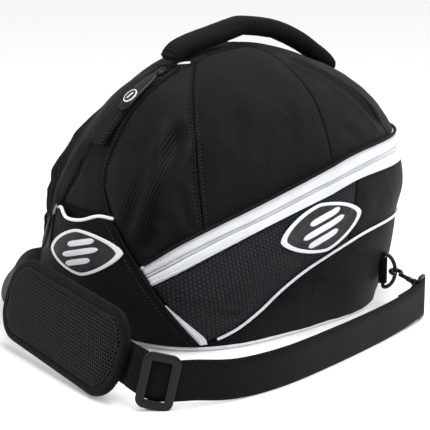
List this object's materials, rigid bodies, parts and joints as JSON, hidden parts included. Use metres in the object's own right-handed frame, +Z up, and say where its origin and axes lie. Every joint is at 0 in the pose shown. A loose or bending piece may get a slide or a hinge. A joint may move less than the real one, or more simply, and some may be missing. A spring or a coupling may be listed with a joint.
{
  "type": "motorcycle helmet bag",
  "caption": "Padded black motorcycle helmet bag with a white zip band, front pocket, top handle and a padded shoulder strap on clip-on hooks.",
  "frame": {"origin": "on the floor, under the middle of the bag's base", "axes": "+Z up, -Y towards the front pocket, +X towards the bag's left side, symmetric in X"},
  "size_m": [0.49, 0.5076, 0.3165],
  "materials": {
    "black_polyester": "dull woven polyester with padding behind",
    "embossed_check_cloth": "embossed with small checks, satin",
    "white_piping": "smooth coated piping",
    "white_zip_tape": "coated zip tape and nylon coil",
    "black_air_mesh": "air mesh over foam",
    "black_webbing": "woven polypropylene webbing",
    "black_acetal": "moulded, satin",
    "black_rubber": "moulded, soft",
    "black_zinc": "black coated zinc, satin",
    "grey_zinc": "plated zinc, satin"
  },
  "bodies": {
    "root": {"band_piping": "black_polyester", "base_panel": "black_polyester", "base_piping": "white_piping", "centre_strip": "black_polyester", "corner_wedge_far": "white_piping", "corner_wedge_near": "white_piping", "d_ring_far": "black_zinc", "d_ring_near": "black_zinc", "front_gore_far": "black_polyester", "front_gore_near": "black_polyester", "front_panel": "black_polyester", "front_pocket": "black_polyester", "handle_foot_front": "black_polyester", "handle_foot_rear": "black_polyester", "handle_grip": "black_polyester", "lower_panel": "black_polyester", "main_puller": "black_rubber", "main_slider": "black_acetal", "pad_binding": "black_polyester", "pocket_binding_far": "black_polyester", "pocket_binding_near": "black_polyester", "pocket_emblem": "black_acetal", "pocket_piping": "white_piping", "pocket_puller_a": "black_rubber", "pocket_puller_b": "black_rubber", "pocket_slider": "grey_zinc", "puller_badge": "white_piping", "rear_dome_panel": "black_polyester", "rear_gore_far": "black_polyester", "rear_gore_near": "black_polyester", "rear_wrap_panel": "black_polyester", "ring_tab_far": "black_webbing", "ring_tab_near": "black_webbing", "shoulder_pad": "black_air_mesh", "shoulder_strap": "black_webbing", "side_emblem_far": "black_acetal", "side_emblem_near": "black_acetal", "side_gore_far": "black_polyester", "side_gore_near": "black_polyester", "side_panel_far": "embossed_check_cloth", "side_panel_near": "embossed_check_cloth", "side_piping": "white_piping", "snap_hook_far": "black_zinc", "snap_hook_near": "black_zinc", "strap_ring_far": "black_zinc", "strap_ring_near": "black_zinc", "tri_glide": "black_acetal", "zip_coil": "white_zip_tape", "zip_flap": "black_polyester", "zip_tape_lower": "white_zip_tape", "zip_tape_upper": "white_zip_tape"}
  },
  "joints": []
}
